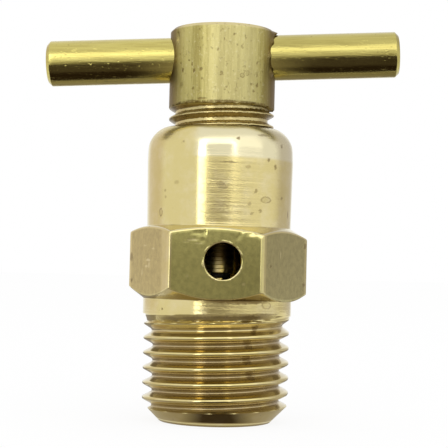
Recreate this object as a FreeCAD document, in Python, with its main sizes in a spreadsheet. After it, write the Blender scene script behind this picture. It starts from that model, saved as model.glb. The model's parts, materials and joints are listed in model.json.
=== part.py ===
"""Drain cock with a tee-bar handle, in millimetres.

The body stands upright on its pipe end: the origin is the centre of that end face, +Z points up
the stem and the drain hole faces -Y. The stem is screwed down on its seat.
"""

import FreeCAD
import Part
import Sketcher

import math
import os

# Driving sizes: lengths in mm, angles in degrees, heights from the pipe end face.
SIZES = {
    # pipe end: parallel pipe thread with a lead-in chamfer, plain neck under the hexagon
    "pipe_d": 13.157,
    "pipe_pitch": 1.337,
    "pipe_thread_angle": 55,
    "pipe_thread_depth": 0.83,
    "pipe_lead_chamfer": 1.58,
    "pipe_thread_l": 9.4,
    "neck_d": 13.4,
    "neck_l": 1.55,
    # hexagon, bevelled by turning at both ends
    "hex_across_flats": 14.0,
    "hex_l": 6.45,
    "hex_corner_radius": 0.35,
    "hex_low_bevel": 37,
    "hex_top_bevel": 24,
    # barrel, rounded over and then bevelled to the rim
    "barrel_d": 13.16,
    "barrel_l": 8.85,
    "shoulder_l": 2.05,
    "shoulder_radius": 2.3,
    "shoulder_turn": 30,
    "shoulder_bevel": 46.5,
    # waterway: inlet from below, small orifice, raised seat just above the drain hole's lowest point
    "inlet_d": 4.8,
    "inlet_depth": 9.2,
    "drill_point": 118,
    "orifice_d": 1.5,
    "seat_rise": 0.17,
    "seat_d": 2.9,
    "seat_lift": 0.7,
    "chamber_d": 8.4,
    "chamber_l": 6.2,
    # drain hole through one flat, a little off its centre line
    "drain_d": 3.2,
    "drain_height": 14.33,
    "drain_offset": 0.6,
    "drain_deburr": 0.13,
    # screw stem
    "stem_d": 9.525,
    "stem_clearance": 0.05,
    "pintle_d": 2.85,
    "pintle_l": 6.1,
    "head_d": 9.6,
    "head_gap": 2.0,
    "head_cover": 0.485,
    "head_top_chamfer": 0.25,
    # soft seat disc, held in a recess in the pintle
    "disc_d": 2.1,
    "disc_clearance": 0.03,
    "disc_stand_out": 0.4,
    "disc_recess": 0.8,
    # cross bar, pressed through the head slightly off square
    "bar_d": 4.13,
    "bar_l": 31.9,
    "bar_height": 32.8,
    "bar_tilt": 2.65,
    "bar_end_chamfer": 0.42,
}

# Sizes that follow from the driving ones.
FOLLOWING = {
    "pipe_r": "pipe_d / 2",
    "pipe_end_r": "pipe_r - pipe_lead_chamfer",
    "neck_r": "neck_d / 2",
    "hex_low": "pipe_thread_l + neck_l",
    "hex_top": "hex_low + hex_l",
    "hex_corner_r": "hex_across_flats / sqrt(3)",
    "stock_r": "hex_across_flats",
    "hex_low_edge": "hex_low + (stock_r - neck_r) * tan(hex_low_bevel)",
    "hex_top_edge": "hex_top - (stock_r - barrel_r) * tan(hex_top_bevel)",
    "barrel_r": "barrel_d / 2",
    "barrel_top": "hex_top + barrel_l",
    "shoulder_low": "barrel_top - shoulder_l",
    "shoulder_end": "shoulder_low + shoulder_radius * sin(shoulder_turn)",
    "shoulder_end_r": "barrel_r - shoulder_radius * (1 - cos(shoulder_turn))",
    "rim_r": "shoulder_end_r - (barrel_top - shoulder_end) * tan(shoulder_bevel)",
    "flat_y": "-hex_across_flats / 2",
    "drain_r": "drain_d / 2",
    "drain_inner_y": "-(seat_r + chamber_r) / 2",
    "drain_edge_y": "flat_y + drain_deburr",
    "drain_mouth_y": "flat_y - drain_deburr",
    "drain_mouth_r": "drain_r + 2 * drain_deburr",
    "inlet_r": "inlet_d / 2",
    "orifice_r": "orifice_d / 2",
    "inlet_point": "inlet_depth + (inlet_r - orifice_r) / tan(drill_point / 2)",
    "seat_height": "drain_height - drain_r + seat_rise",
    "seat_r": "seat_d / 2",
    "chamber_r": "chamber_d / 2",
    "chamber_floor": "seat_height - seat_lift",
    "chamber_top": "chamber_floor + chamber_l",
    "stem_r": "stem_d / 2",
    "stem_bore_r": "stem_r + stem_clearance",
    "thread_root_r": "pipe_r - pipe_thread_depth",
    "thread_tool_r": "pipe_r + pipe_thread_depth / 4",
    "thread_tool_half": "(thread_tool_r - thread_root_r) * tan(pipe_thread_angle / 2)",
    "thread_start": "-pipe_pitch / 2",
    "thread_tool_low": "thread_start - thread_tool_half",
    "thread_tool_high": "thread_start + thread_tool_half",
    "thread_turns": "(pipe_thread_l - thread_tool_high) / pipe_pitch",
    "tip": "seat_height + disc_stand_out",
    "recess_top": "tip + disc_recess",
    "recess_r": "disc_r + disc_clearance",
    "pintle_r": "pintle_d / 2",
    "pintle_top": "tip + pintle_l",
    "head_low": "barrel_top + head_gap",
    "head_top": "bar_height + bar_r + head_cover",
    "head_r": "head_d / 2",
    "head_top_r": "head_r - head_top_chamfer",
    "head_top_edge": "head_top - head_top_chamfer",
    "disc_r": "disc_d / 2",
    "disc_top": "recess_top - disc_clearance",
    "bar_r": "bar_d / 2",
    "bar_end_r": "bar_r - bar_end_chamfer",
    "bar_half": "bar_l / 2",
    "bar_half_plain": "bar_half - bar_end_chamfer",
    "bar_half_back": "-bar_half",
    "bar_half_plain_back": "-bar_half_plain",
}

AXIS = "axis"  # stands for a corner that lies on a sketch axis
X = FreeCAD.Vector(1, 0, 0)
Y = FreeCAD.Vector(0, 1, 0)
Z = FreeCAD.Vector(0, 0, 1)
ORIGIN = FreeCAD.Vector(0, 0, 0)

doc = FreeCAD.newDocument("drain_cock")


def make_sheet():
    """Spreadsheet of the driving sizes and of those that follow from them."""
    sheet = doc.addObject("Spreadsheet::Sheet", "sizes")
    cells = [(name, str(value)) for name, value in SIZES.items()]
    cells += [(name, "=" + formula) for name, formula in FOLLOWING.items()]
    for row, (name, content) in enumerate(cells, start=1):
        sheet.set(f"A{row}", name)
        sheet.set(f"B{row}", content)
        sheet.setAlias(f"B{row}", name)
    doc.recompute()
    return sheet


sheet = make_sheet()


def size(name):
    """A size's present value in the sheet."""
    return 0.0 if name == AXIS else float(sheet.get(name))


def bind(thing, prop, name):
    """Bind a property of a feature to a cell of the sheet."""
    thing.setExpression(prop, f"sizes.{name}")


def make_body(name):
    """An empty body whose label names its file."""
    body = doc.addObject("PartDesign::Body", name)
    body.Label = name
    return body


def new_sketch(body, name, role="XZ_Plane"):
    """A sketch on one of the body's own origin planes."""
    plane = next(f for f in body.Origin.OriginFeatures if f.Role == role)
    sketch = body.newObject("Sketcher::SketchObject", name)
    sketch.AttachmentSupport = [(plane, "")]
    sketch.MapMode = "FlatFace"
    return sketch


def dimension(sketch, constraint, name):
    """Add a constraint and bind its value to a cell of the sheet."""
    index = sketch.addConstraint(constraint)
    sketch.setExpression(f"Constraints[{index}]", f"sizes.{name}")


def point(edge, which):
    """A sketch edge and the number of its start, end or centre, for a constraint."""
    return edge, ("whole", "start", "end", "centre").index(which)


def own_axis(which):
    """Number of a sketch's own level or upright axis, which starts at the sketch origin."""
    return -1 - ("level", "upright").index(which)


def pin_corner(sketch, edge, across, up):
    """Hold the start of an edge at two sizes, counted from the sketch origin."""
    corner = point(edge, "start")
    origin = point(own_axis("level"), "start")
    for kind, name, which in (("DistanceX", across, "upright"), ("DistanceY", up, "level")):
        axis = own_axis(which)
        if name == AXIS:
            sketch.addConstraint(Sketcher.Constraint("PointOnObject", *corner, axis))
        else:
            dimension(sketch, Sketcher.Constraint(kind, *origin, *corner, size(name)), name)


def draw_outline(sketch, corners, rounds=None):
    """Closed outline through corners given as pairs of size names.

    rounds maps the number of an edge to the name of the radius that makes it an arc, turning left.
    """
    rounds = rounds or {}
    spots = [FreeCAD.Vector(size(across), size(up), 0) for across, up in corners]
    first = sketch.GeometryCount
    count = len(corners)
    for edge, start in enumerate(spots):
        end = spots[(edge + 1) % count]
        if edge in rounds:
            sketch.addGeometry(left_arc(start, end, size(rounds[edge])), False)
        else:
            sketch.addGeometry(Part.LineSegment(start, end), False)
    for edge, (across, up) in enumerate(corners):
        before = point(first + (edge - 1) % count, "end")
        corner = point(first + edge, "start")
        sketch.addConstraint(Sketcher.Constraint("Coincident", *before, *corner))
        pin_corner(sketch, first + edge, across, up)
    for edge, radius in rounds.items():
        dimension(sketch, Sketcher.Constraint("Radius", first + edge, size(radius)), radius)


def left_arc(start, end, radius):
    """Arc from start to end, of the given radius, that turns to the left."""
    chord = end - start
    to_centre = math.sqrt(radius ** 2 - (chord.Length / 2) ** 2) / chord.Length
    left = FreeCAD.Vector(-chord.y, chord.x, 0)
    centre = (start + end) * 0.5 + left * to_centre
    angles = [math.atan2(spot.y - centre.y, spot.x - centre.x) for spot in (start, end)]
    return Part.ArcOfCircle(Part.Circle(centre, Z, radius), *angles)


def turned(body, kind, name, corners, rounds=None):
    """Revolution or Groove of an outline about the upright axis."""
    sketch = new_sketch(body, name + "_profile")
    draw_outline(sketch, corners, rounds)
    spin(body, kind, name, sketch, "V_Axis")


def spin(body, kind, name, sketch, axis):
    """Revolution or Groove of a drawn sketch, a full turn about one of its own axes."""
    feature = body.newObject(f"PartDesign::{kind}", name)
    feature.Profile = sketch
    feature.ReferenceAxis = (sketch, [axis])
    feature.Angle = 360
    finish(body, feature, kind == "Groove")


def finish(body, feature, removes):
    """Recompute, and see that a feature that should remove material does so."""
    before = body.Shape.Volume if removes else 0.0
    doc.recompute()
    if removes and not 0 < feature.Shape.Volume < before:
        raise RuntimeError(f"{feature.Name} removed nothing")


def edges_where(feature, wanted):
    """Names of the feature's edges that pass a test."""
    edges = enumerate(feature.Shape.Edges, start=1)
    return [f"Edge{number}" for number, edge in edges if wanted(edge)]


def centred_circle(sketch, radius, construction):
    """Circle about the sketch origin; gives back its number."""
    circle = sketch.addGeometry(Part.Circle(ORIGIN, Z, radius), construction)
    centre = point(circle, "centre")
    origin = point(own_axis("level"), "start")
    sketch.addConstraint(Sketcher.Constraint("Coincident", *centre, *origin))
    return circle


def cut_pipe_thread(body):
    """Right-hand screw groove that runs in from the end face and stops under the neck."""
    sketch = new_sketch(body, "thread_section")
    draw_outline(sketch, [
        ("thread_root_r", "thread_start"),
        ("thread_tool_r", "thread_tool_low"),
        ("thread_tool_r", "thread_tool_high"),
    ])
    helix = body.newObject("PartDesign::SubtractiveHelix", "pipe_thread")
    helix.Profile = sketch
    helix.ReferenceAxis = (sketch, ["V_Axis"])
    helix.Mode = "pitch-turns-angle"
    bind(helix, "Pitch", "pipe_pitch")
    bind(helix, "Turns", "thread_turns")
    finish(body, helix, True)


def make_hexagon_bar(body):
    """Hexagon stock with two corners on the X axis, its long edges slightly rounded."""
    sketch = new_sketch(body, "hexagon", "XY_Plane")
    sides = 6
    radius = size("hex_corner_r")
    turns = [math.radians(360 * corner / sides) for corner in range(sides + 1)]
    spots = [FreeCAD.Vector(radius * math.cos(t), radius * math.sin(t), 0) for t in turns]
    for start, end in zip(spots, spots[1:]):
        sketch.addGeometry(Part.LineSegment(start, end), False)
    ring = centred_circle(sketch, radius, True)
    for edge in range(sides):
        corner = point((edge + 1) % sides, "start")
        sketch.addConstraint(Sketcher.Constraint("Coincident", *point(edge, "end"), *corner))
        sketch.addConstraint(Sketcher.Constraint("PointOnObject", *corner, ring))
        if edge:
            sketch.addConstraint(Sketcher.Constraint("Equal", 0, edge))
    sketch.addConstraint(Sketcher.Constraint("PointOnObject", *point(0, "start"), own_axis("level")))
    dimension(sketch, Sketcher.Constraint("Radius", ring, radius), "hex_corner_r")
    pad = body.newObject("PartDesign::Pad", "hexagon_bar")
    pad.Profile = sketch
    bind(pad, "Length", "barrel_top")
    doc.recompute()
    upright = edges_where(pad, lambda edge: abs(edge.tangentAt(edge.FirstParameter).z) > 0.5)
    rounded = body.newObject("PartDesign::Fillet", "hexagon_corners")
    rounded.Base = (pad, upright)
    bind(rounded, "Radius", "hex_corner_radius")
    finish(body, rounded, True)


def make_valve_body():
    """Body turned from hexagon bar: pipe end, hexagon, barrel, waterway and drain hole."""
    body = make_body("valve_body")
    make_hexagon_bar(body)
    turned(body, "Groove", "turned_pipe_end", [
        ("pipe_end_r", AXIS),
        ("stock_r", AXIS),
        ("stock_r", "hex_low_edge"),
        ("neck_r", "hex_low"),
        ("neck_r", "pipe_thread_l"),
        ("pipe_r", "pipe_thread_l"),
        ("pipe_r", "pipe_lead_chamfer"),
    ])
    turned(body, "Groove", "turned_barrel", [
        ("barrel_r", "hex_top"),
        ("barrel_r", "shoulder_low"),
        ("shoulder_end_r", "shoulder_end"),
        ("rim_r", "barrel_top"),
        ("stock_r", "barrel_top"),
        ("stock_r", "hex_top_edge"),
    ], {1: "shoulder_radius"})
    turned(body, "Groove", "waterway", [
        (AXIS, AXIS),
        ("inlet_r", AXIS),
        ("inlet_r", "inlet_depth"),
        ("orifice_r", "inlet_point"),
        ("orifice_r", "seat_height"),
        ("seat_r", "seat_height"),
        ("seat_r", "chamber_floor"),
        ("chamber_r", "chamber_floor"),
        ("chamber_r", "chamber_top"),
        ("stem_bore_r", "chamber_top"),
        ("stem_bore_r", "barrel_top"),
        (AXIS, "barrel_top"),
    ])
    drill_drain_hole(body)
    cut_pipe_thread(body)
    return body


def drill_drain_hole(body):
    """Drain hole bored through the front flat into the chamber, its outer edge broken."""
    sketch = new_sketch(body, "drain_hole_profile", "YZ_Plane")
    bind(sketch, "AttachmentOffset.Base.y", "drain_height")
    bind(sketch, "AttachmentOffset.Base.z", "drain_offset")
    draw_outline(sketch, [
        ("drain_inner_y", AXIS),
        ("drain_mouth_y", AXIS),
        ("drain_mouth_y", "drain_mouth_r"),
        ("drain_edge_y", "drain_r"),
        ("drain_inner_y", "drain_r"),
    ])
    spin(body, "Groove", "drain_hole", sketch, "H_Axis")


def make_valve_stem():
    """Screw stem: pintle with a recess for the disc, screw shank and plain head."""
    body = make_body("valve_stem")
    turned(body, "Revolution", "turned_stem", [
        (AXIS, "recess_top"),
        ("recess_r", "recess_top"),
        ("recess_r", "tip"),
        ("pintle_r", "tip"),
        ("pintle_r", "pintle_top"),
        ("stem_r", "pintle_top"),
        ("stem_r", "head_low"),
        ("head_r", "head_low"),
        ("head_r", "head_top_edge"),
        ("head_top_r", "head_top"),
        (AXIS, "head_top"),
    ])
    cross = new_sketch(body, "cross_circle", "YZ_Plane")
    cross.AttachmentOffset = FreeCAD.Placement(ORIGIN, FreeCAD.Rotation(-X, size("bar_tilt")))
    bind(cross, "AttachmentOffset.Base.y", "bar_height")
    bind(cross, "AttachmentOffset.Rotation.Angle", "bar_tilt")
    circle = centred_circle(cross, size("bar_r"), False)
    dimension(cross, Sketcher.Constraint("Diameter", circle, size("bar_d")), "bar_d")
    hole = body.newObject("PartDesign::Pocket", "cross_hole")
    hole.Profile = cross
    hole.Type = "ThroughAll"
    hole.Midplane = True
    finish(body, hole, True)
    return body


def make_seat_disc():
    """Soft disc in the tip of the stem, standing out of its recess onto the seat."""
    body = make_body("seat_disc")
    turned(body, "Revolution", "moulded_disc", [
        (AXIS, "seat_height"),
        ("disc_r", "seat_height"),
        ("disc_r", "disc_top"),
        (AXIS, "disc_top"),
    ])
    return body


def make_tee_bar():
    """Straight round bar with chamfered ends, turned upright and then laid across the head."""
    body = make_body("tee_bar")
    turned(body, "Revolution", "turned_bar", [
        (AXIS, "bar_half_back"),
        ("bar_end_r", "bar_half_back"),
        ("bar_r", "bar_half_plain_back"),
        ("bar_r", "bar_half_plain"),
        ("bar_end_r", "bar_half"),
        (AXIS, "bar_half"),
    ])
    body.Placement = FreeCAD.Placement(ORIGIN, FreeCAD.Rotation(Y, 90 - size("bar_tilt")))
    bind(body, "Placement.Base.z", "bar_height")
    body.setExpression("Placement.Rotation.Angle", "90 - sizes.bar_tilt")
    return body


def check(bodies):
    """Stop if a feature failed or a body has no single valid solid."""
    doc.recompute()
    for thing in doc.Objects:
        if {"Invalid", "Error"} & set(thing.State):
            raise RuntimeError(f"{thing.Name} failed: {thing.State}")
    for body in bodies:
        shape = body.Shape
        if shape.isNull() or not shape.isValid() or len(shape.Solids) != 1:
            raise RuntimeError(f"{body.Label} has no valid shape")


parts = [make_valve_body(), make_valve_stem(), make_seat_disc(), make_tee_bar()]
check(parts)
os.makedirs("parts", exist_ok=True)
for part in parts:
    part.Shape.exportStep(f"parts/{part.Label}.step")
    print(part.Label, round(part.Shape.Volume, 1), part.Shape.BoundBox)
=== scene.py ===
# %% [markdown]
# # A brass drain cock with a tee-bar handle
# The real thing is four pieces: a body turned from hexagon bar, a screw stem with a plain head, a
# straight bar pressed through that head, and a small rubber disc in the stem's tip. Each one is made
# here as a surface worked out with numpy, in millimetres, around the solids that are loaded first.

# %% Load the frame
import json
import math
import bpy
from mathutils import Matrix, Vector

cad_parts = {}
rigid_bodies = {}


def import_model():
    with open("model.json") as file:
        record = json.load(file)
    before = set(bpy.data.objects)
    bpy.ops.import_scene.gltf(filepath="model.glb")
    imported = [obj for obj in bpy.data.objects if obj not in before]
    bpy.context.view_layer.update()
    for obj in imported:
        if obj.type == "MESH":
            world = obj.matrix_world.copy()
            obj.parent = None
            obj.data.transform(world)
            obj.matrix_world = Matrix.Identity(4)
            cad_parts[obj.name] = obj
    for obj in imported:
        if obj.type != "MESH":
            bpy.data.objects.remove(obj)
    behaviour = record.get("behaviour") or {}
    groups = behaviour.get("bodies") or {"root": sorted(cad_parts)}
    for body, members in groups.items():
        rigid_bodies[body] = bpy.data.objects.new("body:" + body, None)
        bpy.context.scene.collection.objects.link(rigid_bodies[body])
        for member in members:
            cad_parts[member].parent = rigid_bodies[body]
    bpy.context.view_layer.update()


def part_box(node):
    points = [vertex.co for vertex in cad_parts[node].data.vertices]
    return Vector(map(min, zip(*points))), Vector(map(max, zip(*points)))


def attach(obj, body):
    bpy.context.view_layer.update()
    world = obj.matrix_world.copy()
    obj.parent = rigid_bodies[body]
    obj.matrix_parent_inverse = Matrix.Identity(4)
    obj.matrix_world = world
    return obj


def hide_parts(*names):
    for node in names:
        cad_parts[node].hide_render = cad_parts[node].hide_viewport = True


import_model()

from types import SimpleNamespace

import bmesh
import bpy
import numpy as np
from mathutils import Matrix, Vector

# %% [markdown]
# ## Sizes
# A piece that stands for a solid must have its size and place, so the main sizes are read from the
# boxes of the solids. What a box can't tell, such as a thread's pitch or a bevel's angle, is a named
# value in millimetres in the step that needs it.

# %% Read the main sizes
MM = 0.001
TURN = 2 * math.pi


def box_mm(node):
    """Lowest and highest corner of a solid, in millimetres."""
    low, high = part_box(node)
    return np.array(low) / MM, np.array(high) / MM


body_low, body_high = box_mm("valve_body")
stem_low, stem_high = box_mm("valve_stem")
bar_low, bar_high = box_mm("tee_bar")
disc_low, disc_high = box_mm("seat_disc")

flat_r = (body_high[1] - body_low[1]) / 2
rim_z = body_high[2]
tip_z = stem_low[2]
head_top = stem_high[2]
head_r = (stem_high[1] - stem_low[1]) / 2
bar_r = (bar_high[1] - bar_low[1]) / 2
bar_z = (bar_high[2] + bar_low[2]) / 2
seat_z = disc_low[2]
disc_r = (disc_high[0] - disc_low[0]) / 2
print("flats", 2 * flat_r, "rim", rim_z, "head", 2 * head_r, "to", head_top, "bar", 2 * bar_r)

# %% [markdown]
# ## Turned outlines
# A lathe makes a piece by carrying one outline round an axis. The outline is a list of corners; a tool
# never leaves one perfectly sharp, so each corner is cut back on both sides and bridged by a small
# curve. That thin curve is what catches the light along the edges. The corners may differ from one
# angle to the next, which is how a hexagon can be part of a turned outline.

# %% Outline helpers
ROUND_STEPS = 4
SHORTEST = 1e-9
SHARPEST_COS = -0.99


def turned_rows(corners, columns, closed):
    """Rows of (radius, height) along an outline, one column for each angle round the axis.

    A corner is (radius, height, rounding, steps). With a turn of b degrees in the outline, the corner is
    cut back by rounding * tan(b / 2) and bridged by the curve
    (1 - s)^2 * start + 2 s (1 - s) * corner + s^2 * end. The straight run after it is cut into steps.
    """
    spots = np.stack([np.stack(np.broadcast_arrays(r, z, np.zeros(columns))[:2], -1)
                      for r, z, _, _ in corners])
    onward = np.roll(spots, -1, 0) - spots
    onward = onward / np.maximum(np.linalg.norm(onward, axis=-1, keepdims=True), SHORTEST)
    inward = np.roll(onward, 1, 0)
    cos_turn = np.clip((onward * inward).sum(-1, keepdims=True), SHARPEST_COS, 1)
    half_tan = np.sqrt((1 - cos_turn) / (1 + cos_turn))
    back = np.array([corner[2] for corner in corners])[:, None, None] * half_tan
    starts = spots - inward * back
    ends = spots + onward * back
    count = len(corners)
    rows = []
    for i, (_, _, rounded, steps) in enumerate(corners):
        for s in np.linspace(0, 1, ROUND_STEPS) if rounded else [0.0]:
            rows.append((1 - s) ** 2 * starts[i] + 2 * s * (1 - s) * spots[i] + s ** 2 * ends[i])
        if i + 1 < count or closed:
            target = starts[(i + 1) % count]
            rows.extend(ends[i] + (target - ends[i]) * k / steps for k in range(1, steps))
    return np.stack(rows)


def even_angles(columns):
    """Angles of evenly spaced columns round an axis."""
    return np.linspace(0, TURN, columns, endpoint=False)


def spun(radius, height, angles):
    """Carry an outline round the upright axis: x = radius * cos(angle), y = radius * sin(angle)."""
    return np.stack([radius * np.cos(angles), radius * np.sin(angles), height], -1)


# %% [markdown]
# ## From a grid to a mesh
# A grid of points becomes a mesh by joining each point to its neighbours in the next row and the next
# column. The columns always close into a ring. The rows either close too, as on the body, which is a
# ring with a passage through it, or run from a pole to a pole, as on the solid pieces.

# %% Mesh helpers
EDGE_ANGLE = math.radians(38)


def ring_mesh(name, points):
    """Closed mesh of a grid (rows, columns, 3) whose rows and columns both wrap round."""
    rows, columns = points.shape[:2]
    r, c = np.meshgrid(np.arange(rows), np.arange(columns), indexing="ij")
    after_r, after_c = (r + 1) % rows, (c + 1) % columns
    quads = np.stack([r * columns + c, r * columns + after_c,
                      after_r * columns + after_c, after_r * columns + c], -1)
    return new_piece(name, points.reshape(-1, 3), quads.reshape(-1, 4).tolist())


def poled_mesh(name, points):
    """Closed mesh of a grid whose first and last rows are each one point."""
    rows, columns = points.shape[:2]
    inner = points[1:-1].reshape(-1, 3)
    spots = np.concatenate([points[0, :1], inner, points[-1, :1]])
    r, c = np.meshgrid(np.arange(rows - 3), np.arange(columns), indexing="ij")
    after_c = (c + 1) % columns
    here, above = 1 + r * columns, 1 + (r + 1) * columns
    quads = np.stack([here + c, here + after_c, above + after_c, above + c], -1)
    ring = np.arange(columns)
    following = (ring + 1) % columns
    start_cap = np.stack([np.zeros(columns, int), 1 + following, 1 + ring], -1)
    top = 1 + (rows - 3) * columns
    end_cap = np.stack([np.full(columns, len(spots) - 1), top + ring, top + following], -1)
    return new_piece(name, spots, quads.reshape(-1, 4).tolist() + start_cap.tolist() + end_cap.tolist())


def new_piece(name, points_mm, faces):
    """Object at the origin, its place in its mesh, smooth between its edges."""
    mesh = bpy.data.meshes.new(name)
    mesh.from_pydata((points_mm * MM).tolist(), [], faces)
    smooth(mesh)
    return put_in_scene(name, mesh)


def smooth(mesh):
    """Smooth shading that stops at edges sharper than EDGE_ANGLE."""
    mesh.validate()
    mesh.update()
    mesh.shade_smooth()
    mesh.set_sharp_from_angle(angle=EDGE_ANGLE)


def put_in_scene(name, data):
    """Object at the origin that shows a mesh, a lamp or a lens."""
    made = bpy.data.objects.new(name, data)
    bpy.context.scene.collection.objects.link(made)
    return made


# %% [markdown]
# ## Drills and dents
# A hole is made as in the workshop: a drill's volume is taken out of the finished mesh, so the edge is
# where the two surfaces really meet. That can leave slivers folded on one another, which are cleared
# away. Bruises and burrs are too soft for a cut, so there the grid is pushed before it becomes a mesh.

# %% Drill and dent helpers
SAME_SPOT_MM = 0.0005
QUAD = 4


def cut(piece, cutter):
    """Take the cutter's volume out of a piece, as a drill does, and delete the cutter."""
    drill = piece.modifiers.new("drill", "BOOLEAN")
    drill.operation = "DIFFERENCE"
    drill.solver = "EXACT"
    drill.object = cutter
    seen = bpy.context.evaluated_depsgraph_get()
    drilled = bpy.data.meshes.new_from_object(piece.evaluated_get(seen))
    piece.modifiers.clear()
    drop_folded(drilled)
    piece.data = drilled
    bpy.data.objects.remove(cutter)
    smooth(drilled)


def drop_folded(mesh):
    """Merge corners on one spot, split many-sided faces and delete slivers folded on one another."""
    work = bmesh.new()
    work.from_mesh(mesh)
    bmesh.ops.remove_doubles(work, verts=list(work.verts), dist=SAME_SPOT_MM * MM)
    bmesh.ops.triangulate(work, faces=[face for face in work.faces if len(face.verts) > QUAD])
    same_corners = {}
    for face in work.faces:
        same_corners.setdefault(frozenset(face.verts), []).append(face)
    folded = [face for faces in same_corners.values() if len(faces) > 1 for face in faces]
    bmesh.ops.delete(work, geom=folded, context="FACES")
    work.to_mesh(mesh)
    work.free()
    print("folded slivers deleted:", len(folded))


def dent(points, centre, reach, push):
    """Push a grid round a point: each point moves by push * (1 - d^2)^2, d its distance over reach."""
    share = ((points - np.array(centre)) / np.array(reach)) ** 2
    fall = np.clip(1 - share.sum(-1), 0, 1) ** 2
    points += fall[..., None] * np.array(push)


# %% [markdown]
# ## The hexagon's columns
# The body starts as hexagon bar with slightly rounded long edges. The columns of its grid are placed
# so that some of them run exactly along those rounded edges, with more of them over the front flat,
# which has the drain hole and the nicks. The radius at each angle then follows from plane geometry.

# %% Hexagon columns
SIDES = 6
SECTOR = math.radians(60)
CORNER_ROUND = np.array([0.35, 0.4, 0.4, 0.35, 0.22, 0.5])
CORNER_COLUMNS = 6
FLAT_COLUMNS = [30, 30, 30, 30, 66, 30]


def corner_half_angle(radius):
    """Angle from a corner's middle to where its round meets the flat, seen from the axis."""
    out = (flat_r - radius) / math.cos(SECTOR / 2) + radius * math.cos(SECTOR / 2)
    return np.arctan2(radius * math.sin(SECTOR / 2), out)


def hexagon_columns():
    """Angles of the columns: a few over each rounded corner, then an even row over each flat."""
    half = corner_half_angle(CORNER_ROUND)
    runs = []
    for k in range(SIDES):
        middle = k * SECTOR
        after = (k + 1) * SECTOR - half[(k + 1) % SIDES]
        runs.append(np.linspace(middle - half[k], middle + half[k], CORNER_COLUMNS, endpoint=False))
        runs.append(np.linspace(middle + half[k], after, FLAT_COLUMNS[k], endpoint=False))
    return np.concatenate(runs)


def hexagon_radius(theta):
    """Distance of the hexagon's surface from the axis.

    On a flat it is flat_r / cos(angle from the flat's middle). Over a corner of radius c, whose centre is
    d out, it is d cos(a) + sqrt(c^2 - d^2 sin(a)^2), with a the angle from the corner.
    """
    nearest = np.round(theta / SECTOR)
    radius = CORNER_ROUND[nearest.astype(int) % SIDES]
    off = np.abs(theta - nearest * SECTOR)
    on_flat = flat_r / np.cos(SECTOR / 2 - off)
    out = (flat_r - radius) / math.cos(SECTOR / 2)
    root = np.sqrt(np.maximum(radius ** 2 - (out * np.sin(off)) ** 2, 0))
    on_corner = out * np.cos(off) + root
    return np.where(off < corner_half_angle(radius), on_corner, on_flat)


theta = hexagon_columns()
hex_r = hexagon_radius(theta)
print("body columns", len(theta), "hexagon radius", hex_r.min(), "to", hex_r.max())

# %% [markdown]
# ## The pipe thread
# The lower end carries a parallel pipe thread with rounded crests and roots and flanks at 55 degrees.
# It could be bump, but its crests make the outline, so the radius is worked out from the height and the
# angle: a point's phase is height / pitch - angle / turn, and the crest lies where that is whole. Near
# the neck the groove grows shallow over about a turn, because the die is backed off there.

# %% Pipe thread
PIPE_R = 13.157 / 2
PIPE_PITCH = 1.337
PIPE_FLANK = math.radians(55 / 2)
PIPE_ROUND = 0.1373 * PIPE_PITCH
RUN_OUT_Z = [7.4, 8.2, 8.9, 9.2, 9.5]
RUN_OUT_SHARE = [1.0, 0.8, 0.68, 0.35, 0.0]


def rounded_thread_drop(from_crest):
    """Depth below the crest at a distance along the axis: round crest, straight flank, round root."""
    meets = PIPE_ROUND * math.cos(PIPE_FLANK)
    crest_drop = PIPE_ROUND * (1 - math.sin(PIPE_FLANK))
    half = PIPE_PITCH / 2
    full = 2 * crest_drop + (half - 2 * meets) / math.tan(PIPE_FLANK)
    crest = PIPE_ROUND - np.sqrt(np.maximum(PIPE_ROUND ** 2 - from_crest ** 2, 0))
    flank = crest_drop + (from_crest - meets) / math.tan(PIPE_FLANK)
    to_root = half - from_crest
    root = full - PIPE_ROUND + np.sqrt(np.maximum(PIPE_ROUND ** 2 - to_root ** 2, 0))
    return np.where(from_crest < meets, crest, np.where(to_root < meets, root, flank))


def pipe_thread_radius(theta, z):
    """Radius of the pipe thread at an angle and a height."""
    phase = z / PIPE_PITCH - theta / TURN
    from_crest = np.abs(phase - np.round(phase)) * PIPE_PITCH
    groove_z = z - (phase - np.floor(phase) - 0.5) * PIPE_PITCH
    depth = np.interp(groove_z, RUN_OUT_Z, RUN_OUT_SHARE)
    return PIPE_R - depth * rounded_thread_drop(from_crest)


print("pipe thread depth", rounded_thread_drop(np.array(PIPE_PITCH / 2)), "pitch", PIPE_PITCH)

# %% [markdown]
# ## The thread's last scratch
# Where the die stopped, its last tooth has left a thin scratch close above the last crest. It follows
# the same helix, so its depth is worked out from the distance to that helix.

# %% Last scratch
FRONT = math.radians(270)
LAST_Z = 9.36
LAST_HALF = 0.34
LAST_LOW = -0.2
LAST_DEPTH = 0.3
LAST_ENDS_Z = [8.6, 8.9, 9.4, 9.62]
LAST_SHARE = [0.0, 1.0, 0.85, 0.0]


def last_scratch_drop(theta, z):
    """Depth of the thread's last scratch along a helix through LAST_Z in front.

    Across it the depth rises from 0 at the upper edge to LAST_DEPTH at LAST_LOW, then falls off quickly.
    """
    turns = (z - LAST_Z) / PIPE_PITCH - (theta - FRONT) / TURN
    off = (turns - np.round(turns)) * PIPE_PITCH
    depth = LAST_DEPTH * np.interp(z - off, LAST_ENDS_Z, LAST_SHARE)
    return depth * np.interp(off, [-LAST_HALF, LAST_LOW, LAST_HALF], [0, 1, 0])


print("last scratch, depth in front", last_scratch_drop(FRONT, LAST_Z + LAST_LOW))

# %% [markdown]
# ## The body
# The outline goes up the outside from the pipe end to the rim and down the inside through the bore,
# the chamber, the raised seat, the small orifice and the inlet. The hexagon's bevels are cones turned
# at its ends, so their edges rise and fall with the hexagon's radius. They aren't quite square to the
# axis, so each edge also leans a little.

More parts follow.
